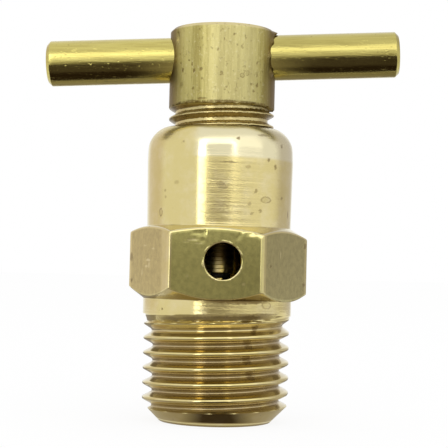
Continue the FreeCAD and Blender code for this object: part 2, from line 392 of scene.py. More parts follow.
# %% Body sizes
PIPE_LEAD = 1.58
PIPE_END_R = PIPE_R - PIPE_LEAD
NECK_LOW_Z = 9.55
NECK_STEP = 0.1
NECK_R = 6.69
NECK_TOP_R = 6.70
HEX_LOW_Z = 10.95
HEX_TOP_Z = 17.40
LOW_BEVEL = math.tan(math.radians(37))
TOP_BEVEL = math.tan(math.radians(24))
LOW_BEVEL_DROP = 0.2
LOW_BEVEL_LEAN = 0.026
TOP_BEVEL_LEAN = 0.024
BARREL_LOW_R = 6.5
BARREL_TOP_R = 6.6
BARREL_EASE_R = 6.57
BARREL_EASE_Z = 23.3
SHOULDER_Z = 24.2
SHOULDER_R = 2.3
SHOULDER_START = 0.05
SHOULDER_CORNERS = 9
BORE_R = 4.8125
CHAMBER_R = 4.2
CHAMBER_TOP_Z = 18.4
CHAMBER_FLOOR_Z = seat_z - 0.7
SEAT_R = 1.45
ORIFICE_R = 0.75
INLET_R = 2.4
INLET_Z = 9.2
INLET_POINT_Z = 10.19


def shoulder_corners():
    """Corners along the round shoulder: radius BARREL_EASE_R - R (1 - cos a), height z + R sin a."""
    last = math.asin((rim_z - SHOULDER_Z) / SHOULDER_R)
    for angle in np.linspace(SHOULDER_START, last, SHOULDER_CORNERS):
        r = BARREL_EASE_R - SHOULDER_R * (1 - math.cos(angle))
        yield r, SHOULDER_Z + SHOULDER_R * math.sin(angle), 0, 1


# %% Outline of the body
hex_x = hex_r * np.cos(theta)
hex_low = HEX_LOW_Z + (hex_r - NECK_R) * LOW_BEVEL - LOW_BEVEL_DROP - LOW_BEVEL_LEAN * hex_x
hex_top = HEX_TOP_Z - (hex_r - BARREL_LOW_R) * TOP_BEVEL - TOP_BEVEL_LEAN * hex_x
body_corners = [
    # radius, height, rounding, steps to the next corner
    (INLET_R, 0.0, 0.08, 4),
    (PIPE_END_R, 0.0, 0.1, 32),
    (PIPE_R, PIPE_LEAD, 0, 132),
    (PIPE_R, NECK_LOW_Z - NECK_STEP, 0, 2),
    (NECK_R, NECK_LOW_Z, 0.04, 18),
    (NECK_TOP_R, HEX_LOW_Z, 0.05, 8),
    (hex_r, hex_low, 0.1, 34),
    (hex_r, hex_top, 0.3, 8),
    (BARREL_LOW_R, HEX_TOP_Z, 0.12, 14),
    (BARREL_TOP_R, BARREL_EASE_Z, 0, 3),
    *shoulder_corners(),
    (BORE_R, rim_z, 0.06, 8),
    (BORE_R, CHAMBER_TOP_Z, 0, 2),
    (CHAMBER_R, CHAMBER_TOP_Z, 0, 10),
    (CHAMBER_R, CHAMBER_FLOOR_Z, 0, 4),
    (SEAT_R, CHAMBER_FLOOR_Z, 0, 3),
    (SEAT_R, seat_z, 0.08, 2),
    (ORIFICE_R, seat_z, 0.05, 4),
    (ORIFICE_R, INLET_POINT_Z, 0, 3),
    (INLET_R, INLET_Z, 0, 12),
]
body_rows = turned_rows(body_corners, len(theta), closed=True)
print("body outline", len(body_corners), "corners,", len(body_rows), "rows")

# %% Cut the thread and spin the body
HAIR = 0.01
LEAD_FROM_R = PIPE_END_R - 0.2
SCRATCH_FROM_R = PIPE_END_R + 0.5

body_r, body_z = body_rows[..., 0], body_rows[..., 1]
threaded = (body_z < NECK_LOW_Z + HAIR) & (body_r > LEAD_FROM_R)
body_r = np.where(threaded, np.minimum(body_r, pipe_thread_radius(theta, body_z)), body_r)
body_r = body_r - np.where(body_r > SCRATCH_FROM_R, last_scratch_drop(theta, body_z), 0)
body_points = spun(body_r, body_z, theta)
print("body grid", body_points.shape)

# %% [markdown]
# ## Nicks on the hexagon
# A spanner has bruised the top edge of the front flat. Real bruises change the outline of the edge, so
# the grid itself is pressed in round a few points before the mesh is made.

# %% Nicks
NICKS = [
    # x, z, half width, half height, depth, all in mm
    (-1.55, 16.72, 0.75, 0.26, 0.06),
    (-0.95, 16.78, 0.16, 0.50, 0.08),
    (-1.75, 16.25, 0.40, 0.22, 0.03),
    (-1.15, 16.05, 0.30, 0.20, 0.03),
    (2.25, 16.90, 0.20, 0.25, 0.07),
    (2.05, 16.60, 0.16, 0.25, 0.06),
    (1.88, 16.32, 0.13, 0.20, 0.04),
    (3.10, 16.70, 0.70, 0.22, 0.08),
    (3.75, 16.55, 0.35, 0.28, 0.06),
]
NICK_REACH_Y = 1.0
NICK_FALL = 0.4
for x, z, wide, high, depth in NICKS:
    dent(body_points, (x, -flat_r, z), (wide, NICK_REACH_Y, high), (0, depth, -depth * NICK_FALL))
valve_body = ring_mesh("valve_body_turned", body_points)
print("nicks", len(NICKS), "body faces", len(valve_body.data.polygons))

# %% [markdown]
# ## The drain hole
# The hole in the front flat lets the water out of the chamber. It is drilled straight in, and its edge
# is broken with a touch of a larger drill, so the cutter here is a round outline with a small flare.

# %% Drain hole
DRAIN_R = 1.6
DRAIN_X = 0.6
DRAIN_Z = 14.33
HOLE_END_Y = -2.8
HOLE_COLUMNS = 96
RIM_WIDE = 0.15
RIM_IN = 0.03
RIM_OUT = 0.06
hole_corners = [
    # radius, y, rounding, steps to the next corner
    (0.0, HOLE_END_Y, 0, 2),
    (DRAIN_R, HOLE_END_Y, 0, 4),
    (DRAIN_R, -flat_r + RIM_IN, 0.04, 2),
    (DRAIN_R + RIM_WIDE, -flat_r - RIM_OUT, 0, 2),
    (0.0, -flat_r - RIM_OUT, 0, 1),
]
hole_angles = even_angles(HOLE_COLUMNS)
hole = turned_rows(hole_corners, HOLE_COLUMNS, closed=False)
hole_points = np.stack([DRAIN_X + hole[..., 0] * np.cos(hole_angles), hole[..., 1],
                        DRAIN_Z + hole[..., 0] * np.sin(hole_angles)], -1)
cut(valve_body, poled_mesh("drain_drill", hole_points))
print("body faces with the hole", len(valve_body.data.polygons))

# %% [markdown]
# ## The screw stem
# The stem is one turned piece: a slim pintle with a recess for the disc, a screwed shank and a plain
# head. The screw thread is fine, 24 to the inch, with sharp V grooves. Where it runs out against the
# head, the edge is left ragged, which a few sine waves round the axis give without any random draw.

# %% Stem thread
STEM_R = 9.525 / 2
STEM_PITCH = 25.4 / 24
STEM_FLANK = math.radians(60 / 2)
STEM_DEPTH = 0.56
STEM_CREST = 0.13
STEM_CREST_Z = 27.68


def stem_thread_radius(theta, z):
    """Radius of the stem's V thread: crest flat of STEM_CREST, straight flanks, depth STEM_DEPTH."""
    phase = (z - STEM_CREST_Z) / STEM_PITCH - theta / TURN
    from_crest = np.abs(phase - np.round(phase)) * STEM_PITCH
    drop = np.maximum(from_crest - STEM_CREST / 2, 0) / math.tan(STEM_FLANK)
    return STEM_R - np.minimum(drop, STEM_DEPTH)


def ragged(theta):
    """Uneven wave round the axis, about -1 to 1: a few sines whose counts share no factor."""
    return (np.sin(5 * theta + 0.6) + np.sin(13 * theta + 2.1) + np.sin(29 * theta + 4.0)
            + np.sin(47 * theta + 1.3)) / 3


wave = ragged(even_angles(360))
print("stem pitch", STEM_PITCH, "ragged wave from", wave.min(), "to", wave.max())

# %% Build the stem
PINTLE_R = 2.85 / 2
RECESS_R = disc_r + 0.03
RECESS_TOP_Z = tip_z + 0.8
PINTLE_TOP_Z = 19.4
SHANK_FROM_R = PINTLE_R + 1
HEAD_LOW_Z = 28.25
HEAD_CHAMFER = 0.3
EDGE_RAGGED = 0.09
EDGE_STEP = 0.02
EDGE_CLEAR = 0.015
STEM_COLUMNS = 240

stem_angles = even_angles(STEM_COLUMNS)
head_edge = HEAD_LOW_Z + EDGE_RAGGED * ragged(stem_angles)
stem_corners = [
    # radius, height, rounding, steps to the next corner
    (0.0, RECESS_TOP_Z, 0, 2),
    (RECESS_R, RECESS_TOP_Z, 0, 3),
    (RECESS_R, tip_z, 0.03, 2),
    (PINTLE_R, tip_z, 0.06, 12),
    (PINTLE_R, PINTLE_TOP_Z, 0, 3),
    (STEM_R - STEM_DEPTH, PINTLE_TOP_Z, 0, 8),
    (STEM_R, PINTLE_TOP_Z + STEM_DEPTH, 0, 150),
    (STEM_R, head_edge - EDGE_STEP, 0, 2),
    (head_r, head_edge, 0.05, 44),
    (head_r, head_top - HEAD_CHAMFER, 0.05, 3),
    (head_r - HEAD_CHAMFER, head_top, 0.08, 8),
    (0.0, head_top, 0, 1),
]
stem_rows = turned_rows(stem_corners, STEM_COLUMNS, closed=False)
stem_r, stem_z = stem_rows[..., 0], stem_rows[..., 1]
screwed = (stem_z > PINTLE_TOP_Z + HAIR) & (stem_z < head_edge - EDGE_CLEAR) & (stem_r > SHANK_FROM_R)
stem_r = np.where(screwed, np.minimum(stem_r, stem_thread_radius(stem_angles, stem_z)), stem_r)
stem_points = spun(stem_r, stem_z, stem_angles)
print("stem grid", stem_points.shape)

# %% [markdown]
# ## Marks on the head
# A punch has left a narrow upright mark beside the left mouth of the cross hole, and pressing the bar
# through has raised burrs round the right one. Both show in the outline, so the grid is pushed in for
# the mark and out for the burrs.

# %% Stake mark and burrs
STAKE_AZIMUTH = math.radians(-56)
STAKE_Z = 34.2
STAKE_REACH = (0.24, 0.24, 0.8)
STAKE_DEPTH = 0.3
BURRS = [
    # place, reach and push, all in mm
    ((4.75, -0.2, 35.15), (0.7, 1.1, 0.45), (0.55, -0.05, -0.05)),
    ((4.45, -1.75, 34.1), (0.5, 0.6, 0.45), (0.16, -0.08, 0)),
    ((4.2, -2.25, 32.8), (0.4, 0.5, 0.5), (0.14, -0.07, 0)),
    ((4.4, -1.8, 31.4), (0.5, 0.6, 0.4), (0.16, -0.06, -0.05)),
]
stake = (head_r * math.sin(STAKE_AZIMUTH), -head_r * math.cos(STAKE_AZIMUTH), STAKE_Z)
inward_push = (-STAKE_DEPTH * math.sin(STAKE_AZIMUTH), STAKE_DEPTH * math.cos(STAKE_AZIMUTH), 0)
dent(stem_points, stake, STAKE_REACH, inward_push)
for place, reach, push in BURRS:
    dent(stem_points, place, reach, push)
valve_stem = poled_mesh("valve_stem_screw", stem_points)
print("burrs", len(BURRS), "stem faces", len(valve_stem.data.polygons))

# %% [markdown]
# ## The cross hole
# The bar runs through the head a little off square, so the hole's drill is an outline carried round the
# bar's own leaning axis. It is a hair wider than the bar and flares unevenly at both mouths.

# %% Cross hole
BAR_TILT = math.radians(2.65)
BAR_GAP = 0.05
CROSS_COLUMNS = 96
MOUTH_OUT = 0.9
MOUTH_IN = 0.12
MOUTH_FLARE = 0.4
MOUTH_RAGGED = 0.04


def along_bar(rows, angles):
    """Carry (radius, distance along the bar) round the bar's axis, which rises towards +X by BAR_TILT."""
    across = rows[..., 0] * np.sin(angles)
    up = rows[..., 0] * np.cos(angles)
    return np.stack([rows[..., 1] * math.cos(BAR_TILT) - up * math.sin(BAR_TILT), -across,
                     bar_z + rows[..., 1] * math.sin(BAR_TILT) + up * math.cos(BAR_TILT)], -1)


cross_angles = even_angles(CROSS_COLUMNS)
mouth = head_r + MOUTH_OUT
mouth_r = bar_r + MOUTH_FLARE + MOUTH_RAGGED * ragged(cross_angles)
cross_corners = [
    # radius, distance along the bar, rounding, steps to the next corner
    (0.0, -mouth, 0, 2),
    (mouth_r, -mouth, 0, 2),
    (bar_r + BAR_GAP, -head_r + MOUTH_IN, 0.1, 6),
    (bar_r + BAR_GAP, head_r - MOUTH_IN, 0.1, 2),
    (mouth_r, mouth, 0, 2),
    (0.0, mouth, 0, 1),
]
cross_rows = turned_rows(cross_corners, CROSS_COLUMNS, closed=False)
cut(valve_stem, poled_mesh("cross_drill", along_bar(cross_rows, cross_angles)))
print("stem faces with the hole", len(valve_stem.data.polygons))

# %% [markdown]
# ## The bar and the disc
# The bar is drawn round rod with a small bevel at each end. The disc is a plain rubber moulding. A
# ready-made cylinder would have sharp edges, so both are outlines too: the bar's is carried round its
# leaning axis and the disc's round the upright one.

# %% Bar
BAR_BEVEL = 0.32
BAR_COLUMNS = 96
bar_reach = (bar_high[0] - bar_low[0]) / 2
bar_half = (bar_reach - (bar_r - BAR_BEVEL) * math.sin(BAR_TILT)) / math.cos(BAR_TILT)
bar_corners = [
    # radius, distance along the bar, rounding, steps to the next corner
    (0.0, -bar_half, 0, 3),
    (bar_r - BAR_BEVEL, -bar_half, 0.08, 3),
    (bar_r, -bar_half + BAR_BEVEL, 0.1, 60),
    (bar_r, bar_half - BAR_BEVEL, 0.1, 3),
    (bar_r - BAR_BEVEL, bar_half, 0.08, 3),
    (0.0, bar_half, 0, 1),
]
bar_rows = turned_rows(bar_corners, BAR_COLUMNS, closed=False)
tee_bar = poled_mesh("tee_bar_drawn", along_bar(bar_rows, even_angles(BAR_COLUMNS)))
print("bar half length", bar_half, "faces", len(tee_bar.data.polygons))

# %% Disc
DISC_COLUMNS = 64
disc_corners = [
    # radius, height, rounding, steps to the next corner
    (0.0, seat_z, 0, 2),
    (disc_r, seat_z, 0.12, 4),
    (disc_r, disc_high[2], 0.1, 2),
    (0.0, disc_high[2], 0, 1),
]
disc_rows = turned_rows(disc_corners, DISC_COLUMNS, closed=False)
disc_points = spun(disc_rows[..., 0], disc_rows[..., 1], even_angles(DISC_COLUMNS))
seat_disc = poled_mesh("seat_disc_rubber", disc_points)
print("disc faces", len(seat_disc.data.polygons))

# %% [markdown]
# ## Finishes
# Brass is a metal, so its colour is the colour of its reflections. What makes one brass surface differ
# from the next is how it was worked: turning leaves fine rings, drawing leaves streaks along the rod,
# and handling leaves spots and brown tarnish in the grooves. Each finish reads the place of a point in
# millimetres, so the marks stay where they are when the piece moves. It is built of many small nodes,
# and a node's output is wrapped here so that sums of them can be written as sums of numbers are.


# %% Nodes as numbers
class Field:
    """A node's output, with a value at each point: fields can be added, taken away and multiplied."""

    def __init__(self, node, output=0):
        self.tree = node.id_data
        self.socket = node.outputs[output]

    def __add__(self, other):
        return step("ADD", self, other)

    def __sub__(self, other):
        return step("SUBTRACT", self, other)

    def __rsub__(self, other):
        return step("SUBTRACT", other, self)

    def __mul__(self, other):
        return step("MULTIPLY", self, other)

    def __abs__(self):
        return step("ABSOLUTE", self)

    __radd__ = __add__
    __rmul__ = __mul__


def add(tree, kind, inputs=None, **settings):
    """Add a node. inputs pairs a socket with a value, or with a field to link."""
    made = tree.nodes.new("ShaderNode" + kind)
    for name, value in settings.items():
        setattr(made, name, value)
    for key, value in (inputs or {}).items():
        if isinstance(value, Field):
            tree.links.new(value.socket, made.inputs[key])
        else:
            made.inputs[key].default_value = value
    return made


def step(operation, first, second=0.0):
    """One step of arithmetic on two values, at least one of them a field."""
    tree = first.tree if isinstance(first, Field) else second.tree
    return Field(add(tree, "Math", {0: first, 1: second}, operation=operation))


def largest(first, *others):
    """Largest of several shares."""
    for other in others:
        first = step("MAXIMUM", first, other)
    return first


def ramp(value, low, high):
    """Smooth rise from 0 at low to 1 at high; a fall where low is the larger."""
    inputs = {"Value": value, "From Min": low, "From Max": high}
    return Field(add(value.tree, "MapRange", inputs, interpolation_type="SMOOTHSTEP"))


# %% Places and colours
GRAIN_ROUGHNESS = 0.6


def vector(operation, inputs, output=0):
    """One step of arithmetic on places or colours, the first of them a field."""
    return Field(add(inputs[0].tree, "VectorMath", inputs, operation=operation), output)


def split(place):
    """The x, y and z of a place."""
    node = add(place.tree, "SeparateXYZ", {0: place})
    return Field(node, 0), Field(node, 1), Field(node, 2)


def level(first, second):
    """Place in a plane, from two values."""
    return Field(add(first.tree, "CombineXYZ", {0: first, 1: second}))


def length(place):
    """Distance of a place from the origin."""
    return vector("LENGTH", {0: place}, "Value")


def noise(place, stretch, detail=3.0):
    """Noise from 0 to 1 whose grains are 1 / stretch mm long in each direction."""
    stretched = vector("MULTIPLY", {0: place, 1: stretch})
    inputs = {"Vector": stretched, "Scale": 1.0, "Detail": detail, "Roughness": GRAIN_ROUGHNESS}
    return Field(add(place.tree, "TexNoise", inputs))


def facing_up(tree):
    """How far a surface faces up: 1 on a top, 0 on an upright wall, -1 underneath."""
    return split(Field(add(tree, "NewGeometry"), "Normal"))[2]


def rgb(r, g, b):
    """Colour with full cover."""
    return (r, g, b, 1.0)


def blend(share, under, over):
    """Mix two colours: under where share is 0, over where it is 1."""
    return Field(add(share.tree, "Mix", {0: share, 6: under, 7: over}, data_type="RGBA"), 2)


def dim(colour, share):
    """Colour times a share."""
    return vector("SCALE", {0: colour, "Scale": share})


# %% Start and end of a finish
def new_finish(name):
    """Material with a metal shader; gives the material, the shader and the place in mm."""
    material = bpy.data.materials.new(name)
    material.use_nodes = True
    tree = material.node_tree
    shader = tree.nodes["Principled BSDF"]
    shader.inputs["Metallic"].default_value = 1.0
    corner = Field(add(tree, "TexCoord"), "Object")
    return material, shader, vector("SCALE", {0: corner, "Scale": 1 / MM})


def finish_with(shader, colour, roughness, height, bump_mm):
    """Link colour and roughness to the shader, and a height that is worth bump_mm as its bump."""
    tree = height.tree
    bump = Field(add(tree, "Bump", {"Strength": 1.0, "Distance": bump_mm * MM, "Height": height}))
    for name, field in (("Base Color", colour), ("Roughness", roughness), ("Normal", bump)):
        tree.links.new(field.socket, shader.inputs[name])


# %% [markdown]
# ## Marks that stay in place
# Old brass carries small brown spots, pits and pale ring stains where drops have dried. A noise would
# put them anywhere, so the ones that can be seen are listed by azimuth and height. The surface of a
# turned piece is unrolled first: one direction is the arc length round the axis, the other the height.

# %% Marks
WOBBLE_GRAIN = (5, 5, 5)
WOBBLE_MM = 0.35


def unrolled(place, radius):
    """Azimuth in degrees (0 in front, + to the right), height, distance from the axis, unrolled place.

    The unrolled place is (radius * azimuth, height), shaken a little so that no mark has a smooth edge.
    """
    x, y, z = split(place)
    turn = step("ARCTAN2", x, y * -1.0)
    wobble = (noise(place, WOBBLE_GRAIN) - 0.5) * WOBBLE_MM
    return step("DEGREES", turn), z, length(level(x, y)), level(turn * radius + wobble, z + wobble)


def marks_share(skin, radius, marks, ring=False):
    """Strongest of several oval marks, each (azimuth, height, half width, half height, strength).

    With d the distance from the middle in halves, a spot is 1 inside d = 0.5 and fades out at d = 1.1, and
    a ring is 1 near d = 0.9 and faint inside.
    """
    share = 0.0
    for azimuth, height, wide, high, strength in marks:
        scale = (1 / wide, 1 / high, 0.0)
        shift = (-math.radians(azimuth) * radius / wide, -height / high, 0.0)
        far = length(vector("MULTIPLY_ADD", {0: skin, 1: scale, 2: shift}))
        if ring:
            mark = ramp(far, 1.1, 0.9) * (0.7 * ramp(far, 0.6, 0.85) + 0.3)
        else:
            mark = ramp(far, 1.1, 0.5)
        share = largest(mark * strength, share)
    return share


# %% [markdown]
# ## The body's zones
# One piece of brass has several skins here. The barrel and the neck were turned, the flats of the
# hexagon are the bar as it was drawn, and the thread was cut with a die. Each zone is a share from 0 to
# 1, read from the height, the azimuth, the distance from the axis and the way the surface faces.

# %% Zones of the body
BARREL_R = 6.58
# A pair is where a share is 0 and where it reaches 1: a height, a distance from the axis, a tilt
FLAT_AWAY, CORNER_AWAY = (6.8, 6.97), (7.78, 7.88)
THREAD_FOOT, THREAD_TOP = (1.0, 1.6), (9.3, 9.0)
NECK_FOOT, NECK_TOP = (9.5, 9.7), (11.0, 10.8)
BARREL_FOOT, BARREL_TOP = (17.0, 17.6), (24.2, 22.8)
GROOVE_AWAY, ROOT_AWAY = (6.5, 6.15), (5.92, 5.78)
UPRIGHT = (0.3, 0.12)


def body_zones(place):
    """Shares that tell the body's zones apart, with the places and noises that several steps use."""
    zone = SimpleNamespace(place=place, up=facing_up(place.tree))
    zone.azimuth, zone.z, zone.away, zone.skin = unrolled(place, BARREL_R)
    zone.aside = abs(zone.azimuth)
    zone.mottle = noise(place, (0.7, 0.7, 0.7))
    zone.flecks = noise(place, (2.4, 2.4, 2.0), 6.0)
    zone.on_flat = ramp(zone.away, *FLAT_AWAY) * ramp(abs(zone.up), *UPRIGHT)
    worn = ramp(zone.away, *CORNER_AWAY) * ramp(zone.aside, 28.0, 29.0)
    worn = worn * (1 - 0.45 * ramp(zone.azimuth, 0.0, 20.0))
    rubbed = 0.75 * ramp(zone.azimuth, -41.5, -37.0) * ramp(zone.azimuth, -29.0, -30.0)
    zone.dull = zone.on_flat * (1 - largest(worn, rubbed))
    zone.in_pipe = ramp(zone.z, *THREAD_TOP) * ramp(zone.z, *THREAD_FOOT)
    zone.groove = ramp(zone.away, *GROOVE_AWAY) * zone.in_pipe
    zone.root = ramp(zone.away, *ROOT_AWAY) * zone.in_pipe * ramp(zone.mottle, 0.25, 0.5)
    zone.on_neck = ramp(zone.z, *NECK_FOOT) * ramp(zone.z, *NECK_TOP)
    zone.on_barrel = ramp(zone.z, *BARREL_FOOT) * ramp(zone.z, *BARREL_TOP)
    return zone


# %% [markdown]
# ## The body's colour
# The turned zones are a clear yellow with paler clouds, and a pale painted highlight lies over the front of
# the shoulder and over the upper bevel. The flats are duller and a little olive, and polished again along
# the corners by handling; the left flat has a warmer painted reflection, and the right flat and the right
# of the front flat have painted shade. The thread needs little colour of its own, because light that is
# reflected twice between its flanks already turns a deep gold; a little dust lies in its roots.

# %% Colour of the body
BRIGHT = rgb(0.68, 0.575, 0.255)
# Pale brass of the clouds and scratches, and also of the painted highlight round the drain hole.
PALE_AND_PAINTED_HIGHLIGHT = rgb(0.72, 0.62, 0.33)
STOCK = rgb(0.50, 0.455, 0.165)
# Painted reflection for the left flat and painted shade for the right flat.
STOCK_PAINTED_REFLECTION_LEFT = rgb(0.52, 0.43, 0.18)
STOCK_PAINTED_SHADE_RIGHT = rgb(0.40, 0.35, 0.15)
GROOVE = rgb(0.50, 0.40, 0.20)
ROOT_DUST = rgb(0.34, 0.26, 0.18)
# Pale colour of a painted highlight.
PAINTED_HIGHLIGHT_TOP = rgb(0.76, 0.70, 0.47)


def stock_with_painted_light(zone):
    """Flats of the hexagon: a warmer painted reflection on the left, painted shade on the right, and
    painted shade over the front one towards the right.

    The front flat lies between azimuth -30 and 30, and each change takes 2 degrees.
    """
    sides = ramp(zone.aside, 92.0, 88.0)
    # Painted reflection: a warmer tint on the left flat. Painted shade: a darker colour on the right flat.
    colour = blend(ramp(zone.azimuth, -29.0, -31.0) * sides, STOCK, STOCK_PAINTED_REFLECTION_LEFT)
    colour = blend(ramp(zone.azimuth, 29.0, 31.0) * sides, colour, STOCK_PAINTED_SHADE_RIGHT)
    # Painted shade over the front flat towards the right.
    painted_shade_rightward = ramp(zone.azimuth, -15.0, 25.0) * ramp(zone.azimuth, 31.0, 29.0)
    colour = dim(colour, 1 - 0.12 * painted_shade_rightward)
    return dim(colour, 0.88 + 0.22 * ramp(zone.flecks, 0.3, 0.7))


def body_colour(zone):
    """Colour of the body: clouds, flats with painted light and shade, a painted highlight on the shoulder
    and upper bevel, gold thread, dusty roots.
    """
    colour = blend(ramp(zone.mottle, 0.4, 0.75), BRIGHT, PALE_AND_PAINTED_HIGHLIGHT)
    colour = blend(zone.dull, colour, stock_with_painted_light(zone))
    # Painted highlight: a pale band over the front of the shoulder, and over the upper bevel, which faces
    # up.
    painted_highlight_shoulder = ramp(zone.z, 23.2, 23.5) * ramp(zone.azimuth, -22.0, -14.0) * ramp(zone.aside, 110.0, 80.0)
    painted_highlight_bevel = ramp(zone.up, 0.5, 0.8) * ramp(zone.z, 16.0, 16.3) * ramp(zone.z, 17.7, 17.5)
    colour = blend(0.85 * largest(painted_highlight_shoulder, painted_highlight_bevel), colour, PAINTED_HIGHLIGHT_TOP)
    colour = blend(0.7 * zone.groove, colour, GROOVE)
    return blend(0.4 * zone.root, colour, ROOT_DUST)


# %% [markdown]
# ## The body's marks
# These are the marks that a look at the real thing picks out first: brown spots on the barrel, painted
# shade under the hexagon and over the neck below it, stains in the thread, bright scratches on the flats,
# and three ring stains. Round the drain hole, a pale ring is painted as the highlight of its raised edge,
# which the bump lifts as a small burr.

# %% Marks on the body
# Brown of tarnish, which also paints shade under the hexagon and on the stem.
TARNISH_AND_SHADE = rgb(0.16, 0.10, 0.03)
# azimuth in degrees, then height, half width and half height in mm, and strength
BODY_SPOTS_AND_SHADE = [
    (15.1, 24.93, 0.22, 0.16, 0.7), (41.2, 23.26, 0.17, 0.22, 0.62), (48.6, 22.66, 0.22, 0.26, 0.58),
    (9.0, 22.85, 0.8, 0.10, 0.5), (30.2, 20.48, 0.20, 0.20, 0.5), (25.3, 19.34, 0.22, 0.18, 0.35),
    (34.6, 18.77, 0.19, 0.22, 0.5), (27.1, 18.49, 0.18, 0.16, 0.35), (2.6, 21.0, 0.5, 0.2, 0.42),
    (4.2, 20.66, 0.55, 0.18, 0.42), (2.0, 19.2, 0.7, 0.16, 0.3), (-1.0, 18.75, 0.9, 0.14, 0.3),
    (-46.2, 25.35, 0.75, 0.16, 0.55), (38.7, 25.37, 0.9, 0.12, 0.5), (56.8, 24.57, 0.2, 0.2, 0.5),
    (23.1, 22.52, 0.3, 0.2, 0.3), (-33.2, 21.09, 0.3, 0.22, 0.25), (-45.2, 20.4, 0.16, 0.16, 0.35),
    (-44.4, 19.85, 0.16, 0.16, 0.3), (-28.0, 24.61, 0.14, 0.12, 0.4), (58.2, 20.01, 0.2, 0.16, 0.45),
    (70.9, 18.6, 0.16, 0.5, 0.5), (-43.5, 10.1, 0.14, 0.14, 0.7), (-36.0, 9.22, 1.8, 0.26, 0.45),
    (-12.0, 9.34, 2.4, 0.26, 0.55), (12.0, 9.45, 2.6, 0.24, 0.6), (27.0, 9.52, 1.5, 0.26, 0.75),
    # Painted shade: a dark line under the hexagon and two dim patches on the neck below it.
    (16.0, 10.86, 3.8, 0.22, 0.85), (39.0, 10.2, 2.2, 0.7, 0.14), (6.0, 10.3, 2.4, 0.6, 0.15),
    (-87.0, 14.6, 0.25, 0.5, 0.55), (-86.0, 12.5, 0.2, 0.25, 0.6), (87.0, 15.9, 0.2, 0.3, 0.6),
    (86.0, 12.4, 0.25, 0.2, 0.6), (35.4, 8.6, 0.4, 0.35, 0.65), (30.5, 6.95, 0.6, 0.25, 0.6),
    (29.5, 5.7, 0.6, 0.25, 0.6), (33.0, 4.3, 0.6, 0.25, 0.6), (39.0, 14.0, 0.14, 0.16, 0.6),
]
BODY_SCRATCHES = [
    (-60.0, 14.3, 0.55, 0.11, 0.9), (-58.5, 13.9, 0.14, 0.35, 0.8), (-63.0, 13.75, 0.35, 0.11, 0.8),
    (-70.0, 13.2, 0.12, 0.4, 0.6), (-52.0, 15.3, 0.35, 0.10, 0.7), (-66.0, 15.6, 0.3, 0.11, 0.6),
    (-16.0, 16.1, 0.5, 0.12, 0.5), (-12.0, 15.8, 0.35, 0.08, 0.4), (-20.0, 15.9, 0.25, 0.08, 0.4),
    (19.0, 12.4, 0.1, 0.18, 0.4), (-19.0, 13.0, 0.08, 0.15, 0.4), (52.0, 15.0, 0.09, 0.4, 0.6),
]
BODY_RINGS = [
    (-50.0, 18.52, 0.25, 0.36, 0.6), (39.8, 19.74, 0.6, 0.28, 0.5), (41.4, 10.6, 0.55, 0.35, 0.5),
]


def drain_rim(place, flecks):
    """Uneven ring round the mouth of the drain hole, 1 on the ring and 0 off it: a painted highlight in the
    colour, a small raised burr in the bump.
    """
    x, y, z = split(place)
    off = vector("DISTANCE", {0: level(x, z), 1: (DRAIN_X, DRAIN_Z, 0.0)}, "Value")
    off = off + 0.3 * flecks - 0.15
    ring = ramp(off, DRAIN_R + 0.2, DRAIN_R + 0.1) * ramp(off, DRAIN_R - 0.1, DRAIN_R + 0.04)
    broken = ramp(noise(place, (0.9, 0.9, 0.9), 2.0), 0.4, 0.58)
    return ring * broken * ramp(y, 2 - flat_r, 1 - flat_r)


def body_stain_and_shade(zone):
    """Brown tarnish and painted shade: the listed spots and rings, of which one row is painted shade under
    the hexagon and on the neck, small blots anywhere, darker along the pipe end's lower edge.
    """
    spots = marks_share(zone.skin, BARREL_R, BODY_SPOTS_AND_SHADE)
    rings = marks_share(zone.skin, BARREL_R, BODY_RINGS, ring=True)
    blots = 0.35 * ramp(noise(zone.place, (1.6, 1.6, 1.6), 2.0), 0.68, 0.78)
    foot = 0.8 * ramp(zone.z, 0.3, 0.1) * ramp(zone.away, 4.0, 4.6)
    return largest(spots, rings, blots, foot)


print("marks on the body:", len(BODY_SPOTS_AND_SHADE) + len(BODY_SCRATCHES) + len(BODY_RINGS))

# %% [markdown]
# ## Turned brass
# Turning leaves rings: a bump that changes quickly with height and slowly round the axis. The tool
# chattered over part of the barrel, so the rings are stronger there. The flats have a fine grain instead.

# %% Turned brass of the body
BODY_ROUGHNESS = 0.11
BODY_BUMP_MM = 0.025
LATHE_GRAIN = (0.12, 3.4, 1.0)


